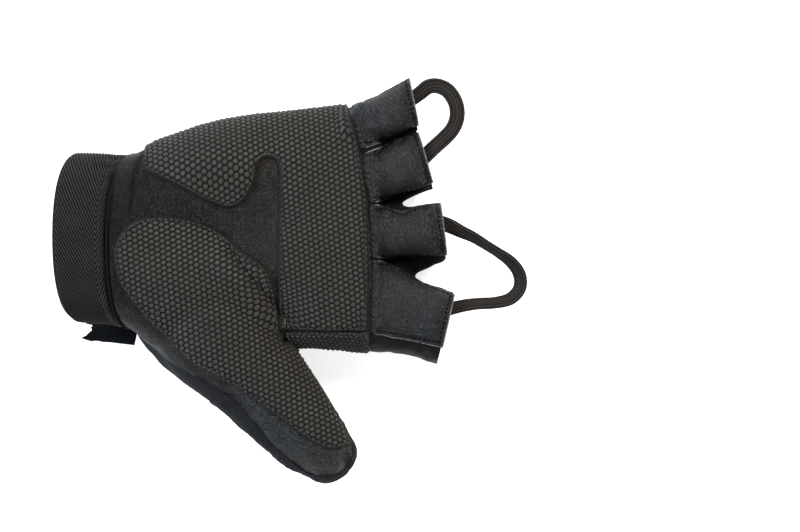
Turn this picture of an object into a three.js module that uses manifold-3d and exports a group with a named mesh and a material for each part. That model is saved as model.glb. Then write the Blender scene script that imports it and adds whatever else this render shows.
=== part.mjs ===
// A right-hand half-finger sailing glove, lying on its back with the palm up and holding the shape of a hand.
// Millimetres. +X runs from the wrist to the fingers, +Y towards the little finger, +Z out of the palm.
// The origin is on the flat of the back of the hand, where the glove rests.
import * as THREE from "three";
import { mergeVertices } from "three/addons/utils/BufferGeometryUtils.js";
import Module from "manifold-3d";

const wasm = await Module();
wasm.setup();

// Driving dimensions
const WALL = 1.4; // leather and knit with its lining
const CUFF_WALL = 1.8; // elastic wrist band
const PATCH = 1.2; // raised grip patch
const GAP = 0.3; // clearance between touching pieces
const THUMB_ROOM = 2.8; // on each side of the thumb's bending line
const GLOVE_TOP = 90; // higher than any piece
const CORD_WIDTH = 6.2; // flat braided elastic of the pull loops
const CORD_THICK = 1.8;

const leather = new THREE.MeshStandardMaterial({ color: 0x2b2b2c, roughness: 0.45, metalness: 0 });
const amara = new THREE.MeshStandardMaterial({ color: 0x33312f, roughness: 0.75, metalness: 0 });
const grip = new THREE.MeshStandardMaterial({ color: 0x383836, roughness: 0.6, metalness: 0 });
const knit = new THREE.MeshStandardMaterial({ color: 0x1b1b1e, roughness: 0.9, metalness: 0 });
const elastic = new THREE.MeshStandardMaterial({ color: 0x232323, roughness: 0.85, metalness: 0 });
const hookLoop = new THREE.MeshStandardMaterial({ color: 0x151516, roughness: 0.95, metalness: 0 });
const cord = new THREE.MeshStandardMaterial({ color: 0x25221f, roughness: 0.85, metalness: 0 });

const glove = new THREE.Group();

function add(name, geometry, material) {
  const mesh = new THREE.Mesh(geometry, material);
  mesh.name = name;
  glove.add(mesh);
}

// A form is a row of cross-sections. Each has a left and a right edge point in plan, the height of its
// middle, half its thickness, how square it is (2 is an ellipse) and how far it leans along the form.
function makeForm(stations) {
  const point = (p, z) => new THREE.Vector3(p[0], p[1], z);
  return {
    last: stations.length - 1,
    left: new THREE.CatmullRomCurve3(stations.map((s) => point(s.left, s.z)), false, "catmullrom", 0.5),
    right: new THREE.CatmullRomCurve3(stations.map((s) => point(s.right, s.z)), false, "catmullrom", 0.5),
    section: new THREE.CatmullRomCurve3(
      stations.map((s) => new THREE.Vector3(s.half, s.square, s.lean ?? 0)), false, "catmullrom", 0.5),
  };
}

// The point of a form at station u, angle a (0 the left edge, 90 the palm side) and depth outside its skin.
// share runs from 0 at the middle of the section to 1 at its skin. Nothing goes under the table.
function onForm(form, u, degrees, depth, share = 1) {
  const t = u / form.last;
  const left = form.left.getPoint(t);
  const right = form.right.getPoint(t);
  const section = form.section.getPoint(t);
  const middle = left.clone().add(right).multiplyScalar(0.5);
  const half = left.clone().sub(right).multiplyScalar(0.5);
  const width = half.length();
  const across = half.clone().normalize();
  const along = new THREE.Vector3(across.y, -across.x, 0);
  const a = THREE.MathUtils.degToRad(degrees);
  const bow = (x) => Math.sign(x) * Math.abs(x) ** (2 / section.y);
  const rise = (section.x + depth) * bow(Math.sin(a)) * share;
  const p = middle
    .addScaledVector(across, (width + depth) * bow(Math.cos(a)) * share)
    .addScaledVector(along, section.z * rise);
  p.z = Math.max(p.z + rise, -depth);
  return p;
}

function remap(geometry, place) {
  const p = geometry.getAttribute("position");
  const v = new THREE.Vector3();
  for (let i = 0; i < p.count; i++) {
    v.fromBufferAttribute(p, i);
    const q = place(v);
    p.setXYZ(i, q.x, q.y, q.z);
  }
  geometry.computeVertexNormals();
  return geometry;
}

// A flat sheet bent round a form: from station u0 to u1, angle a0 to a1, and depth d0 to d1.
function panel(form, [u0, u1], [a0, a1], [d0, d1], steps, lift = () => 0) {
  const sheet = new THREE.BoxGeometry(1, 1, 1, steps[1], steps[0], 1);
  return remap(sheet, (v) => {
    const a = a0 + (a1 - a0) * (v.x + 0.5);
    const u = u0 + (u1 - u0) * (v.y + 0.5);
    return onForm(form, u, a, d0 + (d1 - d0) * (v.z + 0.5) + lift(a));
  });
}

// The solid inside a form's skin, moved out by depth.
function solidForm(form, [u0, u1], depth, around, along) {
  const drum = new THREE.CylinderGeometry(1, 1, 1, around, along);
  return remap(drum, (v) => {
    const degrees = THREE.MathUtils.radToDeg(Math.atan2(v.z, v.x));
    return onForm(form, u0 + (u1 - u0) * (0.5 + v.y), degrees, depth, Math.min(1, Math.hypot(v.x, v.z)));
  });
}

function toManifold(geometry) {
  const bare = geometry.clone();
  bare.deleteAttribute("normal");
  bare.deleteAttribute("uv");
  const merged = mergeVertices(bare, 1e-4);
  const solid = new wasm.Manifold(new wasm.Mesh({
    numProp: 3,
    vertProperties: merged.getAttribute("position").array,
    triVerts: new Uint32Array(merged.index.array),
  }));
  if (solid.volume() > 0) return solid;
  const turned = new Uint32Array(merged.index.array).reverse();
  return new wasm.Manifold(new wasm.Mesh({
    numProp: 3, vertProperties: merged.getAttribute("position").array, triVerts: turned,
  }));
}

function toGeometry(solid) {
  const mesh = solid.getMesh();
  const geometry = new THREE.BufferGeometry();
  geometry.setAttribute("position", new THREE.BufferAttribute(mesh.vertProperties, 3));
  geometry.setIndex(new THREE.BufferAttribute(mesh.triVerts, 1));
  geometry.computeVertexNormals();
  return geometry;
}

// The largest piece of a cut solid: slivers that a cut leaves behind are dropped.
function largest(solid) {
  return solid.decompose().sort((a, b) => b.volume() - a.volume())[0];
}

// An upright prism with this outline in plan.
function prism(shape) {
  const body = new THREE.ExtrudeGeometry(shape, { depth: GLOVE_TOP + 20, bevelEnabled: false, curveSegments: 10 });
  body.translate(0, 0, -10);
  return toManifold(body);
}

function polygon(points) {
  return new THREE.Shape(points.map((p) => new THREE.Vector2(...p)));
}

// The hand from the wrist to the knuckles
const hand = makeForm([
  { left: [-66, 33.5], right: [-66, -31.5], z: 25.5, half: 20.5, square: 2.3, lean: -0.35 },
  { left: [-45, 33.2], right: [-46, -34], z: 25.2, half: 20.5, square: 2.3, lean: -0.35 },
  { left: [-33, 38.5], right: [-33, -43], z: 21.8, half: 21.5, square: 2.3, lean: -0.15 },
  { left: [-10, 46], right: [-10, -41], z: 19, half: 19.8, square: 2.5, lean: 0 },
  { left: [20, 50], right: [20, -41.5], z: 16.3, half: 17.1, square: 2.7, lean: 0 },
  { left: [52, 54], right: [52, -44.5], z: 14.6, half: 14.6, square: 3, lean: 0 },
]);
const CUFF_END = 1;
const HAND_START = 1.05;
const SLIT = [240, 300]; // the opening at the back of the wrist band

// The thumb, from deep in the palm to its tip
const thumb = makeForm([
  { left: [-12, -6], right: [-40, -30], z: 21, half: 15, square: 2.2 },
  { left: [1.2, -21.9], right: [-31.2, -50.1], z: 20.5, half: 17.5, square: 2.2 },
  { left: [15.6, -41], right: [-12.6, -65.4], z: 19, half: 15, square: 2.2 },
  { left: [26, -55.7], right: [1, -77.3], z: 18, half: 13, square: 2.2 },
  { left: [34.6, -69], right: [13.4, -88.2], z: 17, half: 11.8, square: 2.2 },
  { left: [40.5, -79.5], right: [22.2, -93.5], z: 16.4, half: 9.8, square: 2.1 },
]);
const THUMB_AXIS = new THREE.Vector3(0.656, -0.755, 0); // the way the thumb points
const THUMB_BEND = new THREE.Vector3(1.5, -53.2, 30); // on its bending line
const TIP_LENGTH = 8;

// Everything on the wrist side of the knuckle line and of the thumb's bending line. The line of the ring
// and little fingers slants, and that of the index and middle fingers runs straight across.
const KNUCKLES = [[46.4, -47.4], [46.4, 13.2], [44.4, 13.2], [34.6, 60]];
const thumbSide = new THREE.Vector3(-THUMB_AXIS.y, THUMB_AXIS.x, 0);
function bendEnd(side, back) {
  const p = THUMB_BEND.clone().addScaledVector(thumbSide, side).addScaledVector(THUMB_AXIS, back);
  return [p.x, p.y];
}
const palmRegion = prism(polygon([
  [-90, 60], [-90, -60], bendEnd(-32, -THUMB_ROOM), bendEnd(17, -THUMB_ROOM), [18, -43.8], ...KNUCKLES,
]));
const thumbRegion = prism(polygon([
  bendEnd(-45, THUMB_ROOM), [-40, -130], [80, -130], [80, -54], bendEnd(15, THUMB_ROOM),
]));

// The seam between palm and back is a plane that tilts up on the thumb's side.
const SEAM_HEIGHT = 15;
const SEAM_SLOPE = -0.075;
function halfSpace(up) {
  const size = 400;
  const block = new THREE.BoxGeometry(size, size, size);
  block.translate(0, 0, (up ? 1 : -1) * (size / 2 + GAP / 2));
  block.rotateX(Math.atan(SEAM_SLOPE));
  block.translate(0, 0, SEAM_HEIGHT);
  return toManifold(block);
}
const palmSide = halfSpace(true);
const backSide = halfSpace(false);

// The hand and thumb together, moved out by depth
function handSolid(depth) {
  const palm = toManifold(solidForm(hand, [HAND_START, hand.last], depth, 28, 12));
  return palm.add(toManifold(solidForm(thumb, [0, thumb.last], depth, 22, 10)));
}
function hollow(depth) {
  const reach = 0.02; // the cavity runs out past the ends of the skin
  const palm = toManifold(solidForm(hand, [HAND_START - reach, hand.last + reach], depth, 28, 12));
  return palm.add(toManifold(solidForm(thumb, [0, thumb.last + reach], depth, 22, 10)));
}
const skin = handSolid(0).subtract(hollow(-WALL));
add("palm_panel", toGeometry(largest(skin.intersect(palmSide).intersect(palmRegion))), amara);
add("back_panel", toGeometry(largest(skin.intersect(backSide).intersect(palmRegion))), knit);
add("thumb_palm_panel", toGeometry(largest(skin.intersect(palmSide).intersect(thumbRegion))), amara);
add("thumb_back_panel", toGeometry(largest(skin.intersect(backSide).intersect(thumbRegion))), knit);

// A domed leather cap closes the end of the thumb.
function thumbTip() {
  const profile = [];
  const steps = 8;
  const thickness = WALL / 10;
  for (let i = 0; i <= steps; i++) {
    const a = (i / steps) * (Math.PI / 2);
    profile.push(new THREE.Vector2(Math.cos(a), Math.sin(a)));
  }
  profile[steps].x = 0;
  for (let i = steps; i >= 0; i--) {
    const a = (i / steps) * (Math.PI / 2);
    profile.push(new THREE.Vector2((1 - thickness) * Math.cos(a), (1 - thickness) * Math.sin(a)));
  }
  profile[steps + 1].x = 0;
  profile.push(profile[0].clone());
  const cap = new THREE.LatheGeometry(profile, 24);
  const left = onForm(thumb, thumb.last, 0, 0);
  const end = onForm(thumb, thumb.last, 180, 0).add(left).multiplyScalar(0.5);
  const height = onForm(thumb, thumb.last, 90, 0).z - end.z;
  const across = left.clone().sub(end);
  const along = new THREE.Vector3(across.y, -across.x, 0).normalize();
  cap.applyMatrix4(new THREE.Matrix4().makeBasis(
    across, along.clone().multiplyScalar(TIP_LENGTH), new THREE.Vector3(0, 0, height),
  ));
  const start = end.clone().addScaledVector(along, GAP);
  return cap.translate(start.x, start.y, start.z);
}
add("thumb_tip_cap", toGeometry(toManifold(thumbTip())), leather);

// Raised grip patches, cut to their outlines from a second skin over the first
const patchSkin = handSolid(GAP + PATCH).subtract(handSolid(GAP));
const patchSide = patchSkin.intersect(palmSide);

// The palm patch covers the heel of the hand and runs across under the fingers, with a notch between them.
const palmPatch = new THREE.Shape();
palmPatch.moveTo(-41, 60);
palmPatch.lineTo(-41, 26.5);
palmPatch.splineThru([
  new THREE.Vector2(-25.4, 18.7), new THREE.Vector2(-10.9, 12.9), new THREE.Vector2(-3, 14),
  new THREE.Vector2(1.6, 20.3), new THREE.Vector2(3.6, 27.5),
]);
palmPatch.quadraticCurveTo(7.5, 34, 12, 27.5);
palmPatch.lineTo(10.4, -37.5);
palmPatch.lineTo(43, -40.5);
palmPatch.splineThru([
  new THREE.Vector2(43.5, -20), new THREE.Vector2(44.9, 0), new THREE.Vector2(43, 26.5),
  new THREE.Vector2(37, 51), new THREE.Vector2(35, 60),
]);
const PATCH_INSET = 0.6;
const patchRegion = prism(polygon([
  [-90, 60], [-90, -60], ...KNUCKLES.map(([x, y]) => [x - PATCH_INSET, y]),
]));
add("palm_grip_patch", toGeometry(largest(patchSide.intersect(prism(palmPatch)).intersect(patchRegion))), grip);

// The thumb patch runs from the ball of the thumb to its tip. It is two solids, because the thumb bends.
const thumbPatch = new THREE.Shape();
thumbPatch.moveTo(-51, -10);
thumbPatch.splineThru([
  new THREE.Vector2(-47.5, 3.5), new THREE.Vector2(-36, 8.6), new THREE.Vector2(-21.9, 7),
  new THREE.Vector2(-8.3, -0.4), new THREE.Vector2(5.6, -9), new THREE.Vector2(9.3, -22),
]);
thumbPatch.lineTo(9.3, -38);
thumbPatch.lineTo(16, -42);
thumbPatch.lineTo(44, -64);
thumbPatch.lineTo(44, -80);
thumbPatch.splineThru([
  new THREE.Vector2(32.2, -82.3), new THREE.Vector2(19.7, -76.4), new THREE.Vector2(6.2, -67.1),
  new THREE.Vector2(-11.5, -54.6), new THREE.Vector2(-29.3, -40.6), new THREE.Vector2(-45.4, -23.4),
  new THREE.Vector2(-51, -10),
]);
const thumbPatchSkin = patchSide.intersect(prism(thumbPatch));
add("thenar_grip_patch", toGeometry(largest(thumbPatchSkin.intersect(palmRegion))), grip);
add("thumb_grip_patch", toGeometry(largest(thumbPatchSkin.intersect(thumbRegion))), grip);

// The elastic wrist band, open at the back, with a welt where it meets the hand
const BAND = [SLIT[1] - 360, SLIT[0]];
add("cuff_band", panel(hand, [0, CUFF_END - 0.02], BAND, [-CUFF_WALL, 0], [5, 26]), elastic);
add("cuff_welt", panel(hand, [CUFF_END, HAND_START - 0.015], BAND, [-WALL, 0.9], [1, 26]), leather);

// The closure strap is sewn down on the little finger's side and crosses the opening. Its tab stands off.
const STRAP = [0.08, 0.92];
const STRAP_THICK = 1.2;
const PAD_THICK = 0.8;
const STRAP_HINGE = 291;
const STRAP_END = 200;
const TAB_START = 228;
const TAB_LIFT = 6.5;
const strapLift = (a) => {
  const over = THREE.MathUtils.smoothstep(STRAP_HINGE - a, 0, 40) * 2 * (PAD_THICK + GAP);
  const tab = Math.max(0, (TAB_START - a) / (TAB_START - STRAP_END));
  return over + TAB_LIFT * tab * tab;
};
add("strap_sewn_end", panel(hand, STRAP, [STRAP_HINGE + 2, 318], [GAP, GAP + STRAP_THICK], [3, 6]), hookLoop);
add("closure_strap", panel(
  hand, STRAP, [STRAP_END, STRAP_HINGE], [GAP, GAP + STRAP_THICK], [3, 20], strapLift), hookLoop);
const PAD = [0.14, 0.86];
add("loop_pad", panel(hand, PAD, [207, SLIT[0] - 2], [GAP, GAP + PAD_THICK], [3, 8]), hookLoop);
add("hook_pad", panel(hand, PAD, [205, SLIT[0] - 2], [-PAD_THICK, 0], [3, 8], strapLift), hookLoop);

// The finger stalls. Corners are the ends of the root and of the open end, on the little finger's side
// and on the index finger's side. The middle station draws each stall in a little.
const STALL = { rootZ: 14.6, rootHalf: 13.6, endZ: 14.5, endHalf: 11.3 };
const fingers = {
  little: { root: [[41, 52.3], [44.5, 35.2]], end: [[62.2, 63.9], [65.9, 44.4]], pinch: 0.4 },
  ring: { root: [[44.8, 34], [48.7, 14.9]], end: [[65.6, 42.6], [71.8, 21.6]], pinch: 0.4 },
  middle: { root: [[51, 13.3], [51, -7]], end: [[74.4, 15.1], [77.1, -6.2]], pinch: 0.8 },
  index: { root: [[51, -7.9], [51, -43.9]], end: [[80.2, -20.4], [73.4, -49.2]], pinch: 1.2 },
};
const LEATHER = [24, 156];
const SIDE = 2; // degrees between neighbouring panels

function mixed(a, b, inward) {
  const x = (a[0] + b[0]) / 2;
  return [x, (a[1] + b[1]) / 2 + inward];
}

for (const [name, f] of Object.entries(fingers)) {
  const stall = makeForm([
    { left: f.root[0], right: f.root[1], z: STALL.rootZ, half: STALL.rootHalf, square: 3 },
    { left: mixed(f.root[0], f.end[0], -f.pinch), right: mixed(f.root[1], f.end[1], f.pinch),
      z: STALL.rootZ, half: (STALL.rootHalf + STALL.endHalf) / 2 - f.pinch / 2, square: 2.7 },
    { left: f.end[0], right: f.end[1], z: STALL.endZ, half: STALL.endHalf, square: 2.4 },
  ]);
  const whole = [0, stall.last];
  const gusset = [0, stall.last * 1.03];
  const wall = [-WALL, 0];
  add(`${name}_finger_palm_leather`, panel(stall, whole, LEATHER, wall, [5, 8]), leather);
  add(`${name}_finger_back_panel`, panel(stall, whole, [360 - LEATHER[1], 360 - LEATHER[0]], wall, [5, 8]), knit);
  add(`${name}_finger_outer_gusset`,
    panel(stall, gusset, [SIDE - LEATHER[0], LEATHER[0] - SIDE], wall, [5, 4]), knit);
  add(`${name}_finger_inner_gusset`,
    panel(stall, gusset, [LEATHER[1] + SIDE, 360 - LEATHER[1] - SIDE], wall, [5, 4]), knit);
}

// The pull loops: flat elastic braid from one stall's mouth to the next
function pullLoop(points) {
  const shape = new THREE.Shape();
  const w = CORD_WIDTH / 2;
  const t = CORD_THICK / 2;
  shape.moveTo(-t, -w + t);
  shape.quadraticCurveTo(-t, -w, 0, -w);
  shape.quadraticCurveTo(t, -w, t, -w + t);
  shape.lineTo(t, w - t);
  shape.quadraticCurveTo(t, w, 0, w);
  shape.quadraticCurveTo(-t, w, -t, w - t);
  const path = new THREE.CatmullRomCurve3(points.map((p) => new THREE.Vector3(...p)));
  return new THREE.ExtrudeGeometry(shape, { steps: 26, extrudePath: path, curveSegments: 1 });
}
add("little_ring_pull_loop", pullLoop([
  [63.3, 54.9, 22.3], [66.4, 57.2, 22.5], [69.6, 59.6, 22.9], [73.4, 59.8, 23.3], [77.2, 57.8, 23.7],
  [80, 53.4, 24], [80.7, 48.4, 24.1], [79.2, 43.6, 23.9], [76, 39.8, 23.4], [72, 36.2, 22.8], [68.5, 32.8, 22.4],
]), cord);
add("middle_index_pull_loop", pullLoop([
  [75.2, 6.4, 21.8], [78.2, 5.4, 21.9], [82.4, 3.8, 22.2], [87, 1.1, 21.6], [91.8, -1.8, 21], [96.6, -4.8, 20.5],
  [101.6, -8.4, 20.1], [105, -13.2, 19.9], [105.2, -18.6, 19.8], [101.6, -22.8, 20], [95.6, -24.4, 19.6],
  [89, -24.8, 18.9], [83.8, -25.5, 18.4], [79.4, -26.5, 18.2],
]), cord);

export default glove;
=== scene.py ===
# The looks of a right-hand half-finger sailing glove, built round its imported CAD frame.
# Lengths inside this script are millimetres in the frame's axes, and become metres when an object is made.
import math

import bpy
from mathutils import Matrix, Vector
from mathutils.kdtree import KDTree
import numpy as np


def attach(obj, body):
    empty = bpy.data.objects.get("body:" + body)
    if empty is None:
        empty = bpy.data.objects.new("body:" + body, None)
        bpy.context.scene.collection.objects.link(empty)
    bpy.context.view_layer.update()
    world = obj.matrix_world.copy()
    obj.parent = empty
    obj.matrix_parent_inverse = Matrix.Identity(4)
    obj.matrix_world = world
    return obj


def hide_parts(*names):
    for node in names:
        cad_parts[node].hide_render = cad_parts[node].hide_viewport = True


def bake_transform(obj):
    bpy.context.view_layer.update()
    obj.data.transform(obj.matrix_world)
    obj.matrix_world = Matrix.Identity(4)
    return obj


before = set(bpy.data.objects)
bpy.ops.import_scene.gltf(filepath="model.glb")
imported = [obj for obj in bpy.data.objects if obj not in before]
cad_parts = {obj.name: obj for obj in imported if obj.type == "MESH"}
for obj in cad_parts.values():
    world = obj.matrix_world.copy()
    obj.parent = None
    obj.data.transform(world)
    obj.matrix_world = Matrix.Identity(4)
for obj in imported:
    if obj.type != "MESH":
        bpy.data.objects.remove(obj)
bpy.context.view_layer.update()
MM = 0.001
scene = bpy.context.scene

# ---- driving dimensions
VOXEL = 1.2  # of the body that the panels are cut from
PATCH = 1.1  # height of a grip patch over the leather
DOT_PITCH = 2.05  # between dots along a column
DOT_COLUMN = 2.0  # between columns
DOT_RADIUS = 0.93
DOT_HEIGHT = 0.5
DOT_LEAN = math.radians(5)
STITCH_PITCH = 2.3
RIB_PITCH = 1.0  # of the elastic cuff
LINING_TONE = 0.2  # of the inner side of a piece whose outer side has a tone for each point
STITCH_INSET = 1.25  # of the stitches from a patch's edge
STITCH_FLOOR = 17  # height under which a patch's stitches are left out, round the side of the hand
CAMERA_LENS = 100
SENSOR_WIDTH = 36
VIEW_WIDTH = 312  # shown across the picture, at the height of the glove's middle
VIEW_CENTRE = (58.5, -10.1, 20)

# ---- camera
camera_data = bpy.data.cameras.new("camera")
camera_data.lens = CAMERA_LENS
camera_data.sensor_width = SENSOR_WIDTH
camera_data.clip_end = 20
camera = bpy.data.objects.new("camera", camera_data)
scene.collection.objects.link(camera)
distance = VIEW_WIDTH * CAMERA_LENS / SENSOR_WIDTH
camera.location = (VIEW_CENTRE[0] * MM, VIEW_CENTRE[1] * MM, (VIEW_CENTRE[2] + distance) * MM)
scene.camera = camera


# ---- curves and forms
def signed_power(x, power):
    return np.sign(x) * np.abs(x) ** power


def spline(points, t):
    """Catmull-Rom through points at parameter t, straight on beyond both ends."""
    p = np.asarray(points, float)
    t = np.asarray(t, float)
    last = len(p) - 1
    i = np.clip(np.floor(t).astype(int), 0, last - 1)
    f = (np.clip(t, 0, last) - i)[..., None]
    ext = np.vstack([2 * p[0] - p[1], p, 2 * p[-1] - p[-2]])
    a, b, c, d = ext[i], ext[i + 1], ext[i + 2], ext[i + 3]
    va, vb = (c - a) / 2, (d - b) / 2
    out = (2 * b - 2 * c + va + vb) * f**3 + (3 * c - 3 * b - 2 * va - vb) * f**2 + va * f + b
    out = out + np.minimum(t, 0)[..., None] * (p[1] - p[0])
    return out + np.maximum(t - last, 0)[..., None] * (p[-1] - p[-2])


def smooth_line(points, per_span=8):
    return spline(points, np.linspace(0, len(points) - 1, (len(points) - 1) * per_span + 1))


def station(left, right, z, half, square, lean=0.0):
    """A cross-section of a form: its two ends in plan, its middle's height, half its thickness, how square
    it is (2 is an ellipse), and how far its palm side leans along the form for each millimetre of rise."""
    return [*left, *right, z, half, square, lean]


HAND = [
    station((-66, 33.5), (-66, -31.5), 25.5, 20.5, 2.3, -0.35),
    station((-45, 33.2), (-46, -34), 25.2, 20.5, 2.3, -0.35),
    station((-33, 38.5), (-33, -43), 21.8, 21.5, 2.3, -0.15),
    station((-10, 46), (-10, -41), 19, 19.8, 2.5),
    station((20, 50), (20, -41.5), 16.3, 17.1, 2.7),
    station((52, 54), (52, -44.5), 14.6, 14.2, 2.9),
]
THUMB = [
    station((-12, -6), (-40, -30), 21, 15, 2.2),
    station((1.2, -21.9), (-31.2, -50.1), 20.5, 17.5, 2.2),
    station((15.6, -41), (-12.6, -65.4), 19, 15, 2.2),
    station((26, -55.7), (1, -77.3), 18, 13, 2.2),
    station((34.6, -69), (13.4, -88.2), 17, 11.8, 2.2),
    station((40.2, -79), (23.2, -92.6), 16.4, 9.8, 2.1),
]
FINGERS = {
    "little": dict(root=((41, 52.3), (44.5, 35.2)), end=((62.2, 63.9), (65.9, 44.4)), pinch=0.4),
    "ring": dict(root=((44.8, 34), (48.7, 14.9)), end=((65.6, 42.6), (71.8, 21.6)), pinch=0.4),
    "middle": dict(root=((51, 13.3), (51, -7)), end=((74.4, 15.1), (77.1, -6.2)), pinch=0.8),
    "index": dict(root=((51, -7.9), (51, -43.9)), end=((80.2, -20.4), (73.4, -49.2)), pinch=1.2),
}
for f in FINGERS.values():
    (rl, rr), (el, er), pinch = f["root"], f["end"], f["pinch"]
    middle_left = ((rl[0] + el[0]) / 2, (rl[1] + el[1]) / 2 - pinch)
    middle_right = ((rr[0] + er[0]) / 2, (rr[1] + er[1]) / 2 + pinch)
    f["form"] = [
        station(rl, rr, 14.6, 13.6, 3),
        station(middle_left, middle_right, 14.6, 12.45 - pinch / 2, 2.7),
        station(el, er, 14.5, 11.3, 2.4),
    ]


def on_form(form, u, degrees, depth=0.0):
    """Point of a form at station u and angle (0 the little finger's side, 90 the palm side)."""
    s = spline(form, u)
    left, right = s[..., 0:2], s[..., 2:4]
    half = (left - right) / 2
    width = np.linalg.norm(half, axis=-1)
    across = half / width[..., None]
    along = np.stack([across[..., 1], -across[..., 0]], -1)
    a = np.radians(degrees)
    power = 2 / s[..., 6]
    c = signed_power(np.cos(a), power)
    rise = (s[..., 5] + depth) * signed_power(np.sin(a), power)
    sideways = across * ((width + depth) * c)[..., None]
    leaning = along * (s[..., 7] * rise)[..., None]
    xy = (left + right) / 2 + sideways + leaning
    z = np.maximum(s[..., 4] + rise, -depth)
    return np.concatenate([xy, z[..., None]], -1)


def grid_faces(rows, cols, wrap=False):
    """Quads of a rows by cols grid of vertices, wrapping round its columns if asked."""
    r = np.arange(rows - 1)[:, None]
    c = np.arange(cols if wrap else cols - 1)[None, :]
    d = (c + 1) % cols
    return np.stack([r * cols + c, r * cols + d, (r + 1) * cols + d, (r + 1) * cols + c], -1).reshape(-1, 4)


def grid_triangles(rows, cols, wrap=False):
    q = grid_faces(rows, cols, wrap)
    return np.vstack([q[:, [0, 1, 2]], q[:, [0, 2, 3]]])


def tube(form, u0, u1, dome=0.0, nu=40, na=72):
    """Closed body of a form between two stations, with an optional dome of that length on its far end."""
    u = np.linspace(u0, u1, nu)[:, None] + np.zeros((1, na))
    a = np.linspace(0, 360, na, endpoint=False)[None, :] + np.zeros((nu, 1))
    rings = on_form(form, u, a)
    if dome:
        end = rings[-1]
        centre = end.mean(0)
        side = end[0] - end[na // 2]
        along = np.array([side[1], -side[0], 0]) / np.linalg.norm(side)
        steps = np.radians(np.linspace(12, 86, 8))
        caps = [centre + (end - centre) * math.cos(s) + along * dome * math.sin(s) for s in steps]
        rings = np.concatenate([rings, np.array(caps)])
    v = rings.reshape(-1, 3)
    count = len(rings)
    quads = [tuple(q) for q in grid_faces(count, na, wrap=True)]
    first, last = len(v), len(v) + 1
    v = np.vstack([v, rings[0].mean(0), rings[-1].mean(0)])
    fans = [(first, (i + 1) % na, i) for i in range(na)]
    fans += [(last, (count - 1) * na + i, (count - 1) * na + (i + 1) % na) for i in range(na)]
    return v, quads + fans


# ---- triangle surfaces
class Surface:
    """Points v, their outward normals n, and triangles t."""

    def __init__(self, v, n, t):
        self.v, self.n, self.t = v, n, t

    def moved(self, depth):
        return self.v + self.n * np.asarray(depth)[..., None]


def edge_points(s, pairs, share):
    """Points and normals on these edges at that share of the way."""
    a, b = pairs[:, 0], pairs[:, 1]
    w = share[:, None]
    v = s.v[a] * (1 - w) + s.v[b] * w
    n = s.n[a] * (1 - w) + s.n[b] * w
    return v, n / np.linalg.norm(n, axis=1)[:, None]


def turned_to(t, first):
    """Triangles with their corners turned so that this corner of each comes first."""
    return np.stack([np.roll(t, -k, 1) for k in range(3)])[first, np.arange(len(t))]


def clip(s, f):
    """The part of a surface where f is above 0, cut exactly along f = 0."""
    f = np.where(np.abs(f) < 1e-3, 1e-3, f)
    inside = f[s.t] > 0
    count = inside.sum(1)
    tris = [s.t[count == 3]]
    one = s.t[count == 1]
    one = turned_to(one, inside[count == 1].argmax(1))
    two = s.t[count == 2]
    two = turned_to(two, (~inside[count == 2]).argmax(1))
    edges = np.vstack([one[:, [0, 1]], one[:, [0, 2]], two[:, [0, 1]], two[:, [0, 2]]])
    edges = np.sort(edges, 1)
    pairs, where = np.unique(edges, axis=0, return_inverse=True)
    where = where.reshape(-1) + len(s.v)
    share = f[pairs[:, 0]] / (f[pairs[:, 0]] - f[pairs[:, 1]])
    v, n = edge_points(s, pairs, share)
    a, b = len(one), len(two)
    e = np.split(where, [a, 2 * a, 2 * a + b])
    tris.append(np.stack([one[:, 0], e[0], e[1]], 1))
    tris.append(np.stack([two[:, 1], two[:, 2], e[3]], 1))
    tris.append(np.stack([two[:, 1], e[3], e[2]], 1))
    return piece_of(Surface(np.vstack([s.v, v]), np.vstack([s.n, n]), np.vstack(tris)), slice(None))[0]


def piece_of(s, faces, *values):
    """Some of a surface's triangles with the points they use, and those points' values."""
    used, t = np.unique(s.t[faces], return_inverse=True)
    return Surface(s.v[used], s.n[used], t.reshape(-1, 3)), *[x[used] for x in values]


def finer(s):
    """Each triangle cut into four."""
    e = np.sort(np.vstack([s.t[:, [0, 1]], s.t[:, [1, 2]], s.t[:, [2, 0]]]), 1)
    pairs, where = np.unique(e, axis=0, return_inverse=True)
    where = where.reshape(-1) + len(s.v)
    v, n = edge_points(s, pairs, np.full(len(pairs), 0.5))
    ab, bc, ca = np.split(where, 3)
    a, b, c = s.t.T
    t = np.vstack([np.stack(x, 1) for x in ((a, ab, ca), (ab, b, bc), (ca, bc, c), (ab, bc, ca))])
    return Surface(np.vstack([s.v, v]), np.vstack([s.n, n]), t)


def rim_edges(t):
    """Directed edges that only one triangle has."""
    e = np.vstack([t[:, [0, 1]], t[:, [1, 2]], t[:, [2, 0]]])
    key = np.sort(e, 1)
    _, first, count = np.unique(key, axis=0, return_index=True, return_counts=True)
    return e[first[count == 1]]


def rim_distance(s, reach=4.0):
    """Distance from each point to the surface's border, up to reach."""
    rim = rim_edges(s.t)
    pts = np.vstack([s.v[rim[:, 0]] * (1 - w) + s.v[rim[:, 1]] * w for w in (0, 0.33, 0.67)])
    tree = KDTree(len(pts))
    for i, p in enumerate(pts):
        tree.insert(p, i)
    tree.balance()
    out = np.full(len(s.v), reach)
    for i, p in enumerate(s.v):
        d = tree.find(p)[2]
        if d < reach:
            out[i] = d
    return out


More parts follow.
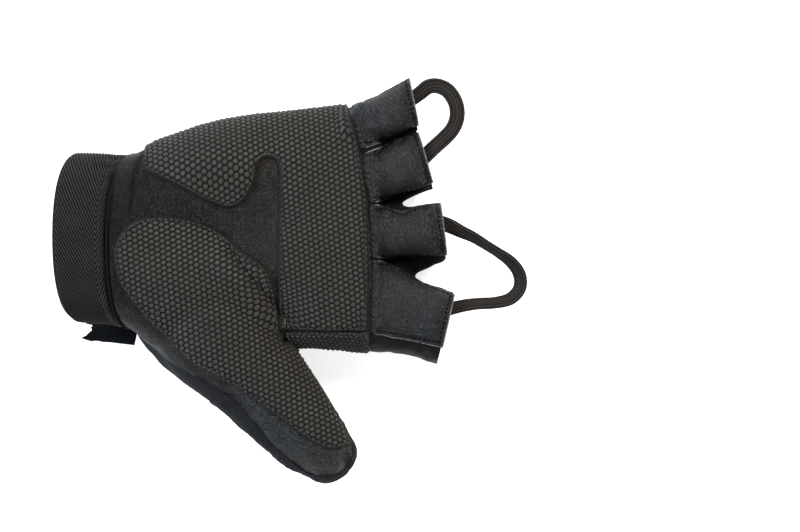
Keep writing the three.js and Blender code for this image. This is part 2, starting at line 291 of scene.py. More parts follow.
def contour(s, f, points=None):
    """The lines f = 0 on a surface, as a list of (points, normals)."""
    points = s.v if points is None else points
    shifted = Surface(points, s.n, s.t)
    f = np.where(np.abs(f) < 1e-6, 1e-6, f)
    sign = f[s.t] > 0
    mixed = (sign.any(1)) & (~sign.all(1))
    links = {}
    for tri in s.t[mixed]:
        ends = [tuple(sorted((tri[i], tri[(i + 1) % 3]))) for i in range(3)
                if (f[tri[i]] > 0) != (f[tri[(i + 1) % 3]] > 0)]
        links.setdefault(ends[0], []).append(ends[1])
        links.setdefault(ends[1], []).append(ends[0])
    lines = []
    left = dict.fromkeys(sorted(links))
    order = [k for k in left if len(links[k]) == 1] + list(left)
    for start in order:
        if start not in left:
            continue
        chain, at = [], start
        while at is not None:
            chain.append(at)
            left.pop(at, None)
            at = next((k for k in links[at] if k in left), None)
        if len(links[start]) == 2 and len(chain) > 3:
            chain.append(start)
        pairs = np.array(chain)
        share = f[pairs[:, 0]] / (f[pairs[:, 0]] - f[pairs[:, 1]])
        lines.append(edge_points(shifted, pairs, share))
    return lines


def value_noise(p, size, seed):
    """Smooth noise from -1 to 1 with features of that size."""
    q = p / size
    i = np.floor(q).astype(np.int64)
    f = q - i
    f = f * f * (3 - 2 * f)
    out = np.zeros(len(p))
    for corner in range(8):
        o = np.array([corner & 1, corner >> 1 & 1, corner >> 2])
        h = ((i + o) * np.array([73856093, 19349663, 83492791])).sum(1) + seed * 2654435
        h = (h ^ (h >> 13)) * 1274126177 & 0x7FFFFFFF
        h = (h ^ (h >> 15)) & 0xFFFF
        w = np.prod(np.where(o == 1, f, 1 - f), 1)
        out += w * (h / 32767.5 - 1)
    return out


def polygon_distance(xy, polygon):
    """Signed distance in plan to a closed outline, above 0 inside."""
    p = np.asarray(polygon, float)
    q = np.roll(p, -1, 0)
    best = np.full(len(xy), 1e9)
    inside = np.zeros(len(xy), bool)
    for a, b in zip(p, q):
        e = b - a
        length = e @ e
        if length < 1e-12:
            continue
        w = xy - a
        t = np.clip(w @ e / length, 0, 1)[:, None]
        best = np.minimum(best, ((w - t * e) ** 2).sum(1))
        crosses = (a[1] > xy[:, 1]) != (b[1] > xy[:, 1])
        if crosses.any():
            x = (b[0] - a[0]) * (xy[:, 1] - a[1]) / (b[1] - a[1] + 1e-12) + a[0]
            inside ^= crosses & (xy[:, 0] < x)
    return np.where(inside, 1, -1) * np.sqrt(best)


def along_path(points):
    """Length of a path up to each of its points."""
    return np.concatenate([[0], np.cumsum(np.linalg.norm(np.diff(points, axis=0), axis=1))])


def smoothstep(x):
    x = np.clip(x, 0, 1)
    return x * x * (3 - 2 * x)


def bell(x, centre, width):
    return np.exp(-(((x - centre) / width) ** 2))


# ---- Blender objects
def mesh_object(name, v, faces, materials, index=None, sharp=40):
    """A smooth-shaded object from millimetre points and equal-sided faces."""
    faces = np.asarray(faces, np.int32)
    me = bpy.data.meshes.new(name)
    me.vertices.add(len(v))
    me.vertices.foreach_set("co", (np.asarray(v) * MM).astype(np.float32).ravel())
    me.loops.add(faces.size)
    me.loops.foreach_set("vertex_index", faces.ravel())
    me.polygons.add(len(faces))
    me.polygons.foreach_set("loop_start", np.arange(0, faces.size, faces.shape[1], dtype=np.int32))
    for m in materials:
        me.materials.append(m)
    if index is not None:
        me.polygons.foreach_set("material_index", np.asarray(index, np.int32))
    me.update(calc_edges=True)
    me.validate()
    me.polygons.foreach_set("use_smooth", np.ones(len(me.polygons), bool))
    me.set_sharp_from_angle(angle=math.radians(sharp))
    o = bpy.data.objects.new(name, me)
    scene.collection.objects.link(o)
    return o


def set_tone(o, tone):
    attribute = o.data.attributes.new("tone", "FLOAT", "POINT")
    attribute.data.foreach_set("value", tone.astype(np.float32))


def shell(name, s, outer, inner, materials, sharp=50, tone=None, raw_edge=None):
    """A closed piece between two offsets of a surface. Its cut edge takes the second material, if there is
    one. tone is a number for each point of its outer side, which the material reads. raw_edge is true for
    each of the top's triangles that show the second material too."""
    count = len(s.v)
    v = np.vstack([s.moved(outer), s.moved(np.broadcast_to(inner, (count,)))])
    rim = rim_edges(s.t)
    a, b = rim[:, 0], rim[:, 1]
    strip = np.vstack([np.stack([b, a, a + count], 1), np.stack([b, a + count, b + count], 1)])
    faces = np.vstack([s.t, s.t[:, ::-1] + count, strip])
    index = np.zeros(len(faces), int)
    if len(materials) > 1:
        index[-len(strip):] = 1
        if raw_edge is not None:
            index[:len(s.t)] = raw_edge
    o = mesh_object(name, v, faces, materials, index, sharp)
    if tone is not None:
        set_tone(o, np.append(tone, np.full(count, LINING_TONE)))
    return o


def assign(o, carrier, slot, *nodes):
    """Gives a piece its carrier (a body, or a function that is called on the piece and only bakes its
    placement) and hides the CAD nodes it stands for. slot is not used."""
    if callable(carrier):
        carrier(o)
    else:
        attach(o, carrier)
    if nodes:
        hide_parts(*nodes)


# ---- materials
def material(name, colour, roughness, specular=0.5):
    m = bpy.data.materials.new(name)
    m.use_nodes = True
    shader = m.node_tree.nodes["Principled BSDF"]
    shader.inputs["Base Color"].default_value = (*colour, 1)
    shader.inputs["Roughness"].default_value = roughness
    shader.inputs["Specular IOR Level"].default_value = specular
    return m, m.node_tree, shader


def node(tree, kind, **values):
    n = tree.nodes.new(kind)
    for key, value in values.items():
        if key in n.inputs:
            n.inputs[key].default_value = value
        else:
            setattr(n, key, value)
    return n


def coordinates(tree, scale=(1, 1, 1)):
    place = node(tree, "ShaderNodeTexCoord")
    mapping = node(tree, "ShaderNodeMapping")
    mapping.inputs["Scale"].default_value = scale
    tree.links.new(place.outputs["Object"], mapping.inputs["Vector"])
    return mapping.outputs["Vector"]


def noise_of(tree, vector, size, detail=3.0, roughness=0.55):
    n = node(tree, "ShaderNodeTexNoise", Scale=1000 / size, Detail=detail, Roughness=roughness)
    tree.links.new(vector, n.inputs["Vector"])
    return n.outputs["Fac"]


def cells_of(tree, vector, size, feature="DISTANCE_TO_EDGE"):
    n = node(tree, "ShaderNodeTexVoronoi", Scale=1000 / size)
    n.feature = feature
    tree.links.new(vector, n.inputs["Vector"])
    return n.outputs["Distance"]


def remap(tree, value, low, high, to_low=0.0, to_high=1.0):
    n = node(tree, "ShaderNodeMapRange")
    for key, x in (("From Min", low), ("From Max", high), ("To Min", to_low), ("To Max", to_high)):
        n.inputs[key].default_value = x
    tree.links.new(value, n.inputs["Value"])
    return n.outputs["Result"]


def math_of(tree, operation, a, b):
    n = node(tree, "ShaderNodeMath", operation=operation)
    for i, x in enumerate((a, b)):
        if isinstance(x, (int, float)):
            n.inputs[i].default_value = x
        else:
            tree.links.new(x, n.inputs[i])
    return n.outputs[0]


def weighted_sum(tree, a, a_share, b, b_share):
    return math_of(tree, "ADD", math_of(tree, "MULTIPLY", a, a_share), math_of(tree, "MULTIPLY", b, b_share))


def point_tone(tree):
    """The tone stored on each point of a mesh."""
    return node(tree, "ShaderNodeAttribute", attribute_name="tone").outputs["Fac"]


def bump(tree, shader, heights):
    """Stacks (height, depth in mm) bumps on the shader's normal."""
    normal = None
    for height, depth in heights:
        n = node(tree, "ShaderNodeBump", Distance=depth * MM)
        n.inputs["Strength"].default_value = 1
        tree.links.new(height, n.inputs["Height"])
        if normal:
            tree.links.new(normal, n.inputs["Normal"])
        normal = n.outputs["Normal"]
    tree.links.new(normal, shader.inputs["Normal"])


def two_tone(tree, shader, value, dark, light, low=0.3, high=0.7):
    ramp = node(tree, "ShaderNodeMix", data_type="RGBA")
    ramp.inputs[6].default_value = (*dark, 1)
    ramp.inputs[7].default_value = (*light, 1)
    tree.links.new(remap(tree, value, low, high), ramp.inputs[0])
    tree.links.new(ramp.outputs[2], shader.inputs["Base Color"])


def leather_material(name, dark, light, roughness, specular, grain=0.75, depth=0.07, fold=1.1, wear_and_painted_shading=0.0):
    """Fine-grained leather. With its gradient setting, it is painted darker towards the wrist and lighter
    towards the fingers: painted shade and painted light, not wear.
    """
    m, tree, shader = material(name, light, roughness, specular)
    at = coordinates(tree)
    cells = cells_of(tree, at, grain)
    pores = noise_of(tree, at, grain * 0.5, 2)
    folds = noise_of(tree, coordinates(tree, (1, 0.45, 1)), 5, 3)
    patchy = noise_of(tree, at, 12, 4)
    mottled = weighted_sum(tree, patchy, 0.4, pores, 0.4)
    creases = cells_of(tree, coordinates(tree, (1, 0.6, 1)), grain * 1.25)
    value = math_of(tree, "ADD", mottled, remap(tree, creases, 0, 0.3, -0.1, 0.2))
    # the gradient paints shade towards the wrist and light towards the fingers, along the object's X
    if wear_and_painted_shading:
        apart = node(tree, "ShaderNodeSeparateXYZ")
        tree.links.new(at, apart.inputs["Vector"])
        value = math_of(tree, "ADD", value, remap(tree, apart.outputs["X"], -0.05, 0.02, -wear_and_painted_shading, wear_and_painted_shading))
    two_tone(tree, shader, value, dark, light)
    rough = remap(tree, pores, 0.3, 0.7, roughness - 0.07, roughness + 0.1)
    tree.links.new(rough, shader.inputs["Roughness"])
    bump(tree, shader, [(remap(tree, cells, 0, 0.25), depth), (pores, depth), (folds, fold)])
    return m


def knit_material(name, dark, light, size=0.75, roughness=0.85, toned=False):
    """Fine fabric. If toned, the tone of each point of the mesh darkens it between its ribs, as painted
    shade.
    """
    m, tree, shader = material(name, light, roughness, 0.15)
    at = coordinates(tree)
    loops = cells_of(tree, coordinates(tree, (1, 0.6, 0.8)), size, "F1")
    fuzz = noise_of(tree, at, 0.25, 3, 0.7)
    wear_and_painted_shading = noise_of(tree, at, 9, 4)
    mixed = weighted_sum(tree, fuzz, 0.6, wear_and_painted_shading, 0.4)
    if toned:
        mixed = math_of(tree, "MULTIPLY", point_tone(tree), remap(tree, mixed, 0.3, 0.7, 0.6, 1.15))
    two_tone(tree, shader, mixed, dark, light, *((0, 1) if toned else (0.35, 0.65)))
    bump(tree, shader, [(remap(tree, loops, 0, 0.6, 1, 0), 0.25), (fuzz, 0.12)])
    return m


def grip_material(name, dark, light):
    """Moulded rubber: the tone of each point of the mesh tells a dot from the ground between dots, and paints
    the ground dark as painted shade with some dirt.
    """
    m, tree, shader = material(name, light, 0.5, 0.3)
    tone = point_tone(tree)
    wear_and_painted_shading = noise_of(tree, coordinates(tree), 7, 4)
    pores = noise_of(tree, coordinates(tree), 0.3, 2)
    value = math_of(tree, "MULTIPLY", tone, remap(tree, wear_and_painted_shading, 0.3, 0.7, 0.8, 1.1))
    two_tone(tree, shader, value, dark, light, 0, 1)
    tree.links.new(remap(tree, tone, 0, 1, 0.85, 0.42), shader.inputs["Roughness"])
    bump(tree, shader, [(pores, 0.035)])
    return m


def thread_material(name, colour):
    m, tree, shader = material(name, colour, 0.4, 0.6)
    bump(tree, shader, [(noise_of(tree, coordinates(tree), 0.2, 2), 0.1)])
    return m


def cut_edge_material(name, dark, light):
    """Where leather is cut, its pale inside shows in patches."""
    m, tree, shader = material(name, dark, 0.85, 0.2)
    two_tone(tree, shader, noise_of(tree, coordinates(tree), 0.8, 3), dark, light)
    return m


# The palm leather's last setting paints shade towards the wrist and light towards the fingers.
PALM_LEATHER = leather_material(
    "palm_leather", (0.003, 0.0022, 0.0018), (0.031, 0.0265, 0.0215), 0.5, 0.25, 0.9, 0.28, wear_and_painted_shading=0.16)
STALL_LEATHER = leather_material(
    "stall_leather", (0.003, 0.0033, 0.0038), (0.0115, 0.012, 0.013), 0.37, 0.45, 0.8, 0.15, 0.4)
SIDE_LEATHER = leather_material(
    "side_leather", (0.005, 0.004, 0.0035), (0.012, 0.0095, 0.0085), 0.6, 0.15, 0.9, 0.06)
GRIP = grip_material("grip_dots", (0.0022, 0.0021, 0.0019), (0.064, 0.06, 0.049))
KNIT = knit_material("knit", (0.005, 0.005, 0.006), (0.017, 0.017, 0.019))
GUSSET = knit_material("gusset_fabric", (0.003, 0.003, 0.003), (0.008, 0.008, 0.008), 0.5)
ELASTIC = knit_material("cuff_elastic", (0.0015, 0.0014, 0.0013), (0.066, 0.061, 0.055), 0.4, 0.7, toned=True)
BRAID = knit_material("braid", (0.0015, 0.0013, 0.0012), (0.06, 0.049, 0.041), 0.5, 0.65, toned=True)
WEBBING = knit_material("hook_and_loop", (0.003, 0.003, 0.003), (0.009, 0.009, 0.01), 0.45, 0.9)
STALL_THREAD = material("stall_thread", (0.002, 0.002, 0.002), 0.7, 0.1)[0]
THREAD = thread_material("thread", (0.024, 0.024, 0.025))
CUT_EDGE = cut_edge_material("cut_edge", (0.06, 0.06, 0.062), (0.32, 0.32, 0.32))


# ---- the glove's body
def mesh_arrays(o):
    """Points in millimetres and triangles of an object with its modifiers."""
    evaluated = o.evaluated_get(bpy.context.evaluated_depsgraph_get())
    me = evaluated.to_mesh()
    me.calc_loop_triangles()
    v = np.empty(len(me.vertices) * 3, np.float32)
    t = np.empty(len(me.loop_triangles) * 3, np.int32)
    me.vertices.foreach_get("co", v)
    me.loop_triangles.foreach_get("vertices", t)
    evaluated.to_mesh_clear()
    return v.reshape(-1, 3).astype(float) / MM, t.reshape(-1, 3)


def web(edges, z, half):
    """Fabric between two stalls, from pairs of edge points."""
    form = [station(*pair, z, half - 1.2 * i, 2) for i, pair in enumerate(edges)]
    return tube(form, -0.3, len(edges) - 1, dome=1, nu=24, na=32)


bodies = [tube(HAND, 0.85, 4.93), tube(THUMB, 0, 5, dome=8)]
bodies += [tube(f["form"], -0.55, 2.3) for f in FINGERS.values()]
bodies += [
    web([((45, 37), (45, 31)), ((56, 41.5), (56, 37))], 13, 6),
    web([((46, 18), (46, 10)), ((54, 20), (54, 13)), ((73, 25), (74, 21))], 12, 7),
    web([((46, -3), (46, -12)), ((60, -5), (61, -13.8)), ((76, -4), (76, -8.6))], 11.5, 7),
]
points, polygons = [], []
for v, faces in bodies:
    base = sum(len(p) for p in points)
    polygons += [tuple(int(i) + base for i in f) for f in faces]
    points.append(v)
rough = bpy.data.meshes.new("rough_body")
rough.from_pydata((np.vstack(points) * MM).tolist(), [], polygons)
body = bpy.data.objects.new("rough_body", rough)
scene.collection.objects.link(body)
voxels = body.modifiers.new("voxels", "REMESH")
voxels.mode = "VOXEL"
voxels.voxel_size = VOXEL * MM
soften = body.modifiers.new("soften", "SMOOTH")
soften.factor = 0.5
soften.iterations = 9
subdivide = body.modifiers.new("subdivide", "SUBSURF")
subdivide.levels = 1
skin_v, skin_t = mesh_arrays(body)
bpy.data.objects.remove(body)


def hump(v, centre, radii, height):
    """A smooth rise (or hollow) that acts on the palm side only."""
    d = ((v[:, :2] - centre) / radii) ** 2
    return height * np.exp(-d.sum(1)) * smoothstep((v[:, 2] - 12) / 14)


skin_v[:, 2] += hump(skin_v, (-9, 9), (24, 15), -4.5)  # hollow of the palm
skin_v[:, 2] += hump(skin_v, (-20, -22), (20, 16), 2.0)  # ball of the thumb
skin_v[:, 2] += hump(skin_v, (-14, 33), (26, 12), 1.6)  # heel of the hand
skin_v[:, 2] += hump(skin_v, (13, -27), (9, 12), -2.6)  # fold at the root of the thumb
fold_start = np.array([-9.0, -2.5])
fold_end = np.array([16.0, -33.5])
fold_way = (fold_end - fold_start) / np.linalg.norm(fold_end - fold_start)
from_fold = skin_v[:, :2] - fold_start
along_fold = from_fold @ fold_way
beside_fold = from_fold @ np.array([-fold_way[1], fold_way[0]])
folded = smoothstep((along_fold + 4) / 10) * smoothstep((44 - along_fold) / 9)
folded = folded * smoothstep((skin_v[:, 2] - 14) / 10)
skin_v[:, 2] -= 1.9 * folded * bell(beside_fold, 0.5, 2.3)  # valley, palm to thumb
skin_v[:, 2] += 1.0 * folded * bell(beside_fold, -6, 3.5)  # the ridge beside it
skin_v[:, 2] += hump(skin_v, (37.5, -85), (1.3, 4), -1.4)  # crease beside the end of the thumb's patch
skin_v[:, 2] += hump(skin_v, (33.5, -86.5), (2, 3), 0.7)
THUMB_ROOT = (-42, -41)
from_root = ((skin_v[:, :2] - THUMB_ROOT) / (13, 12)) ** 2
bulge = np.exp(-from_root[:, 0] - from_root[:, 1]) * smoothstep((26 - skin_v[:, 2]) / 8)
skin_v[:, :2] += 5 * bulge[:, None] * (-0.6, -0.8)  # the knit stands out beside the root of the thumb
for y in (41, 22, 3, -26):
    skin_v[:, 2] += hump(skin_v, (38 - abs(y) * 0.02, y), (9, 8), 0.5)  # pads under the fingers


def normals_of(v, t):
    face = np.cross(v[t[:, 1]] - v[t[:, 0]], v[t[:, 2]] - v[t[:, 0]])
    n = np.zeros_like(v)
    for k in range(3):
        np.add.at(n, t[:, k], face)
    return n / np.maximum(np.linalg.norm(n, axis=1), 1e-9)[:, None]


skin = Surface(skin_v, normals_of(skin_v, skin_t), skin_t)

# ---- where each panel lies
KNUCKLE_SEAM = np.array([(-60, 46.4), (-10, 46.8), (15, 46.0), (33, 43.4), (52, 38.8), (62, 35.5)])
THUMB_POINT = np.array([1.5, -53.2])  # on the thumb's bending line
THUMB_AXIS = np.array([0.656, -0.755])
THUMB_SIDE = np.array([0.755, 0.656])
LEATHER_EDGE = smooth_line([
    (-60, -24), (-53, -28.4), (-44.5, -34.5), (-36.7, -42.1), (-28.9, -47.6), (-19.5, -53), (-10.9, -57.9),
    (-3.9, -63.4), (1.6, -70.2), (7.8, -76.6), (12.5, -82), (17.9, -87.2), (23.4, -90.9), (28.5, -92),
    (33.5, -91), (37.2, -88), (39.6, -84), (41.5, -79),
])
LEATHER_AREA = np.vstack([LEATHER_EDGE, [(80, -70), (80, 90), (-90, 90), (-90, -20)]])


def beyond_thumb_line(v):
    return (v[:, :2] - THUMB_POINT) @ THUMB_AXIS


def thumb_point(side, forward):
    return THUMB_POINT + THUMB_SIDE * side + THUMB_AXIS * forward


THUMB_AREA = [
    thumb_point(-60, -4), (-45, -130), (85, -130), (85, -58), (50, -50.5), (20, -45), thumb_point(16.2, -4),
]
STALL_LINES = [((43.2, 34.6), (66.2, 43.6)), ((46.5, 14.0), (75, 18.8)), ((47, -7.3), (80, -14))]


def left_of(v, line):
    a, b = np.array(line[0], float), np.array(line[1], float)
    d = (b - a) / np.linalg.norm(b - a)
    w = v[:, :2] - a
    return d[0] * w[:, 1] - d[1] * w[:, 0]


def part(s, *conditions):
    """Clips a surface by several functions of its points, one after the other."""
    for condition in conditions:
        s = clip(s, condition(s.v))
    return s


# Each of these is above 0 where its name says, and 0 along a seam.
def knuckle(v):
    return (v[:, 0] - np.interp(v[:, 1], KNUCKLE_SEAM[:, 0], KNUCKLE_SEAM[:, 1])) * 0.98


def not_finger(v):
    return -knuckle(v)


def in_thumb(v):
    return polygon_distance(v[:, :2], THUMB_AREA)


def not_thumb(v):
    return -in_thumb(v)


def palm_side(v):
    return np.minimum(v[:, 2] - (15 - 0.075 * v[:, 1]), polygon_distance(v[:, :2], LEATHER_AREA))


def back_side(v):
    return -palm_side(v)


def past_wrist(v):
    return v[:, 0] + 44.6 + 0.35 * (v[:, 2] - 25.2)


def blended(o):
    """Bakes o's placement into its mesh."""
    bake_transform(o)


def on_thumb(o):
    blended(o)


def rounded(s, depth, width):
    """How far a piece's top is drawn down towards its cut edge."""
    d = np.clip(rim_distance(s, width) / width, 0, 1)
    return depth * (1 - np.sqrt(1 - (1 - d) ** 2))


# ---- leather and knit of the hand
def palm_folds(v):
    """Soft folds of the palm leather, and the gather beside the cuff."""
    slanted = v @ np.array([[0.8, 0.25, 0], [0.6, -0.35, 0], [0, 0, 0.6]])
    out = 0.6 * value_noise(slanted, 5, 1) + 0.22 * value_noise(v, 2.2, 2)
    gather = bell(v[:, 0] + 0.35 * (v[:, 2] - 38), -41.5, 1) * smoothstep((v[:, 1] - 2) / 14)
    return out - 1.1 * gather


palm = part(skin, palm_side, not_finger, not_thumb, past_wrist)
palm_leather = shell("palm_leather", palm, palm_folds(palm.v) * 0.8, -1.1, [PALM_LEATHER, CUT_EDGE])
assign(palm_leather, "palm", "amara", "palm_panel")

back = part(skin, back_side, not_finger, not_thumb, past_wrist)
back_knit = shell("back_knit", back, 0.12 * value_noise(back.v, 5, 3) * (back.v[:, 2] > 1.5), -1.1, [KNIT])
assign(back_knit, "palm", "knit", "back_panel")

thumb = part(skin, palm_side, in_thumb)
thumb_leather = shell("thumb_leather", thumb, palm_folds(thumb.v) * 0.6, -1.1, [STALL_LEATHER, CUT_EDGE])
assign(thumb_leather, on_thumb, "amara", "thumb_palm_panel", "thumb_tip_cap")

thumb_back = part(skin, back_side, in_thumb)
thumb_knit_depth = 0.3 + 0.25 * value_noise(thumb_back.v, 4, 4) + 0.2 * value_noise(thumb_back.v, 1.3, 5)
thumb_knit = shell("thumb_knit", thumb_back, thumb_knit_depth, -1.1, [KNIT])
assign(thumb_knit, on_thumb, "knit", "thumb_back_panel")


# ---- dotted grip patches
def at_height(outline, z):
    """An outline laid out at the height of the glove's middle, carried up to height z along lines that meet
    at a point far above it."""
    centre = np.array(VIEW_CENTRE[:2])
    return centre + (np.asarray(outline, float) - centre) * (1 - (z - VIEW_CENTRE[2]) / distance)


PALM_PATCH = np.vstack([
    [(-60, 80), (-41.5, 80), (-41.5, 35)],
    smooth_line([(-41.2, 27), (-36.8, 25.1), (-25.1, 19.5), (-17.6, 15.6), (-11.7, 13.3), (-7, 12.7),
                 (-2.4, 15.4), (0.4, 19.9), (2, 24.2), (2.7, 28.1), (4, 30.8), (7, 32), (10.1, 30.8),
                 (11.3, 27.6)]),
    [(10.5, -35.2), (60, -36), (60, 80)],
])
PALM_PATCH = at_height(PALM_PATCH, 33)
THUMB_PATCH = np.vstack([
    smooth_line([(39.8, -81.1), (32, -82.3), (27.3, -81.1), (18.7, -75.7), (7.8, -67.1), (-7.8, -56.2),
                 (-23.4, -46.8), (-31.2, -39), (-39, -31.2), (-44.5, -24.2), (-49.1, -17.9), (-51.5, -10.9),
                 (-51.9, -3.9), (-49.9, 1.6), (-46, 6.2), (-39.8, 8.6), (-32, 9), (-23.4, 7.8), (-15.6, 5),
                 (-8, 0.2), (-3.9, -3.6), (1.6, -7.4), (6.4, -11.6), (9.9, -20)]),
    [(10.4, -30), (11, -36.4), (16, -41.5), (22, -45), (60, -60), (60, -80)],
])
THUMB_PATCH = at_height(THUMB_PATCH, 35)


def unrolled(form, u, side, height):
    """Sideways offset from a form's middle as measured over its skin."""
    stops = np.linspace(0, len(form) - 1, 26)
    place = np.interp(u, stops, range(len(stops)))
    angles = np.radians(np.linspace(-25, 205, 185))
    phi = np.arctan2(height, side)
    phi = np.where(phi < -2, phi + 2 * np.pi, phi)
    out = np.zeros(len(u))
    for i, stop in enumerate(stops):
        row = spline(form, stop)
        w = np.linalg.norm(row[0:2] - row[2:4]) / 2
        x = w * signed_power(np.cos(angles), 2 / row[6])
        y = row[5] * signed_power(np.sin(angles), 2 / row[6])
        length = along_path(np.stack([x, y], 1))
        polar = np.unwrap(np.arctan2(y, x))
        length = np.interp(np.pi / 2, polar, length) - length
        out += np.interp(phi, polar, length) * np.clip(1 - np.abs(place - i), 0, 1)
    return out


def flat_palm(v):
    """Points of the palm laid out flat, so that the dots keep their pitch over its curve."""
    u = np.interp(v[:, 0], [row[0] for row in HAND], range(len(HAND)))
    s = spline(HAND, u)
    middle = (s[:, 1] + s[:, 3]) / 2
    return np.stack([v[:, 0], middle + unrolled(HAND, u, v[:, 1] - middle, v[:, 2] - s[:, 4])], 1)


def flat_thumb(v):
    """Points of the thumb laid out flat across its length."""
    rows = np.array(THUMB)
    centres = (rows[:, 0:2] + rows[:, 2:4]) / 2 - THUMB_POINT
    u = np.interp(beyond_thumb_line(v), centres @ THUMB_AXIS, range(len(THUMB)))
    s = spline(THUMB, u)
    middle = ((s[:, 0:2] + s[:, 2:4]) / 2 - THUMB_POINT) @ THUMB_SIDE
    side = (v[:, :2] - THUMB_POINT) @ THUMB_SIDE - middle
    over = unrolled(THUMB, u, side, v[:, 2] - s[:, 4])
    return v[:, :2] + THUMB_SIDE * ((over - side) * smoothstep((beyond_thumb_line(v) + 30) / 20))[:, None]


def dots(flat, lean):
    """Height of the moulded dots at flat positions: flattened domes with a small dimple, in columns that
    are half a pitch apart from their neighbours."""
    c, s = math.cos(lean), math.sin(lean)
    x = flat[:, 0] * c + flat[:, 1] * s
    y = -flat[:, 0] * s + flat[:, 1] * c
    best = np.full(len(x), 9.0)
    for k in (0, 1):
        column = np.floor(x / DOT_COLUMN) + k
        shift = (column % 2) / 2
        row = np.round(y / DOT_PITCH - shift) + shift
        best = np.minimum(best, np.hypot(x - column * DOT_COLUMN, (y - row * DOT_PITCH) * 1.16))
    return DOT_HEIGHT * smoothstep((DOT_RADIUS + 0.12 - best) / 0.45) - 0.16 * bell(best, 0, 0.26)


def patch_height(s, flat, lean, seam_depth=0.3):
    """A patch's thickness, with its dots, rounded border and the groove of its stitches, and its tone, which
    paints shade with some dirt between the dots, along the border and in the stitch groove.
    """
    border = rim_distance(s, 3)
    groove = bell(border, STITCH_INSET, 0.32)
    edge = rounded(s, PATCH + 0.1, 0.8)
    shown = smoothstep((border - 0.35) / 0.5) * (1 - 0.8 * groove)
    relief = dots(flat, lean) * shown
    # painted shade with some dirt: low tone between the dots, along the border and in the stitch groove
    tone = np.clip(relief / DOT_HEIGHT, 0.05, 1) * 0.9 + 0.1 * (1 - shown)
    return PATCH - edge + relief - seam_depth * groove, tone


def in_palm_patch(v):
    return polygon_distance(v[:, :2], PALM_PATCH)


def in_thumb_patch(v):
    return polygon_distance(v[:, :2], THUMB_PATCH)


def before_knuckle(v):
    return -knuckle(v) - 0.5


palm_patch = finer(part(skin, palm_side, before_knuckle, not_thumb, in_palm_patch))
palm_height, palm_tone = patch_height(palm_patch, flat_palm(palm_patch.v), DOT_LEAN)
palm_height += 0.25 * palm_folds(palm_patch.v)
palm_grip = shell("palm_grip", palm_patch, palm_height, 0.0, [GRIP], tone=palm_tone)
assign(palm_grip, "palm", "grip", "palm_grip_patch")

PATCH_FOLD_X = 12.5  # where the thumb's patch ends on the palm, at the fold beside the thumb


def before_fold(v):
    return PATCH_FOLD_X - v[:, 0] + 80 * (in_thumb(v) > -1)


thumb_patch = finer(part(skin, palm_side, in_thumb_patch, before_fold))
thumb_height, thumb_tone = patch_height(thumb_patch, flat_thumb(thumb_patch.v), DOT_LEAN)
thumb_height += 0.25 * palm_folds(thumb_patch.v)
on_the_thumb = in_thumb(thumb_patch.v)[thumb_patch.t].mean(1) > 0

for name, carrier, chosen in (("thenar_grip", "palm", ~on_the_thumb), ("thumb_grip", on_thumb, on_the_thumb)):
    s, depth, tone = piece_of(thumb_patch, chosen, thumb_height, thumb_tone)
    o = shell(name, s, depth, 0.0, [GRIP], tone=tone)
    assign(o, carrier, "grip", name + "_patch")

# ---- finger stalls
STALL_SEAM = 19.5  # height of the leather's side seams
BACK_SEAM = 7.5


def in_stall(v, name):
    """Above 0 past the knuckles, between the stall's neighbours and before its hem."""
    little, ring, middle = (left_of(v, line) for line in STALL_LINES)
    sides = {"little": [little], "ring": [-little, ring], "middle": [-ring, middle], "index": [-middle]}[name]
    (el, er) = FINGERS[name]["end"]
    hem = left_of(v, (er, el))
    return np.minimum.reduce([knuckle(v), *sides]), hem


def on_finger():
    """A function that bakes a piece's placement into its mesh."""
    return lambda o: blended(o)


def stall_leather_depth(s):
    """Puckers where the stall is gathered into the knuckle seam, and a puffed middle."""
    past = knuckle(s.v)
    across = s.v[:, 1] + s.v[:, 0] * 0.2
    lines = value_noise(np.stack([past / 2.4, across / 3.8, s.v[:, 2] / 9], 1), 1, 11)
    pebbles = value_noise(s.v * (1, 0.8, 1), 0.95, 12)
    soft = value_noise(s.v * (1, 0.7, 1), 8, 13)
    gathered = np.exp(-((past - 1) / 9).clip(0) ** 1.2)
    seam = -1.1 * bell(past, 0, 1.3)
    border = rim_distance(s, 3)
    groove = -0.5 * bell(border, 1.3, 0.45)
    puff = 1.5 * smoothstep((rim_distance(s, 7) - 1) / 5.5)
    wrinkles = (0.8 * lines + 0.1 * pebbles) * gathered + 0.08 * pebbles + 0.6 * soft
    return 0.5 + wrinkles + seam + groove + puff - rounded(s, 0.35, 0.5)


